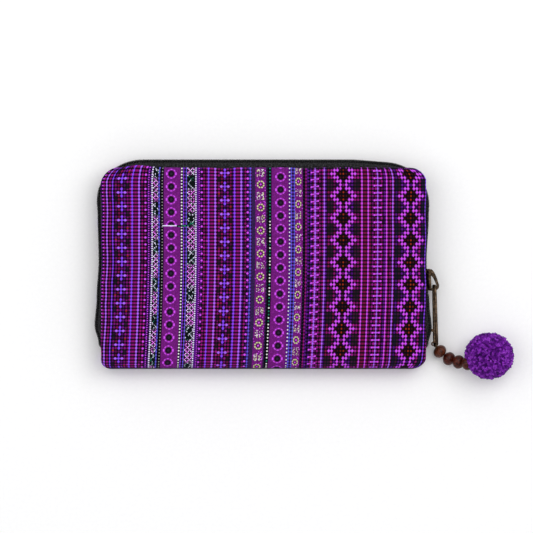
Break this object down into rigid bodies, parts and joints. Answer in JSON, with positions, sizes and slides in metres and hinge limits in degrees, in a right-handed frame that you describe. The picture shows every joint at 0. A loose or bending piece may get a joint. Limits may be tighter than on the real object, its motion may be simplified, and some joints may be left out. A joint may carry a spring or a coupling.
{
  "type": "woven zip pouch",
  "caption": "Flat padded cloth pouch in striped hand-woven fabric, zipped round three sides, with a loop pull that carries wooden beads and a yarn pompom.",
  "frame": {"origin": "middle of the flat back face that the pouch lies on", "axes": "+Z out of the front, +Y to the top of the front, +X to the side with the slider"},
  "size_m": [0.2525, 0.133, 0.0291],
  "materials": {
    "woven_cloth": "hand-woven cotton, matt",
    "zip_tape": "woven nylon, matt",
    "zip_coil": "nylon coil, satin",
    "bronze": "antique bronze plating, worn",
    "bead_wood": "turned, stained and polished",
    "cord": "waxed cotton",
    "yarn": "cut wool yarn"
  },
  "bodies": {
    "pouch": {"cover": "woven_cloth", "zip_tape_front": "zip_tape", "zip_tape_back": "zip_tape", "zip_coil_front": "zip_coil", "zip_coil_back": "zip_coil", "end_stop": "bronze", "slider": "bronze"},
    "pull": {"pull_frame": "bronze", "bead_thread": "cord", "bead_1": "bead_wood", "bead_2": "bead_wood", "bead_3": "bead_wood", "bead_4": "bead_wood", "pompom": "yarn"}
  },
  "joints": [
    {"name": "pull_swing", "type": "hinge", "parent": "pouch", "child": "pull", "pos_m": [0.10296, -0.01056, 0.0105], "axis": [0, 0, 1], "range_deg": [0, 125]}
  ]
}
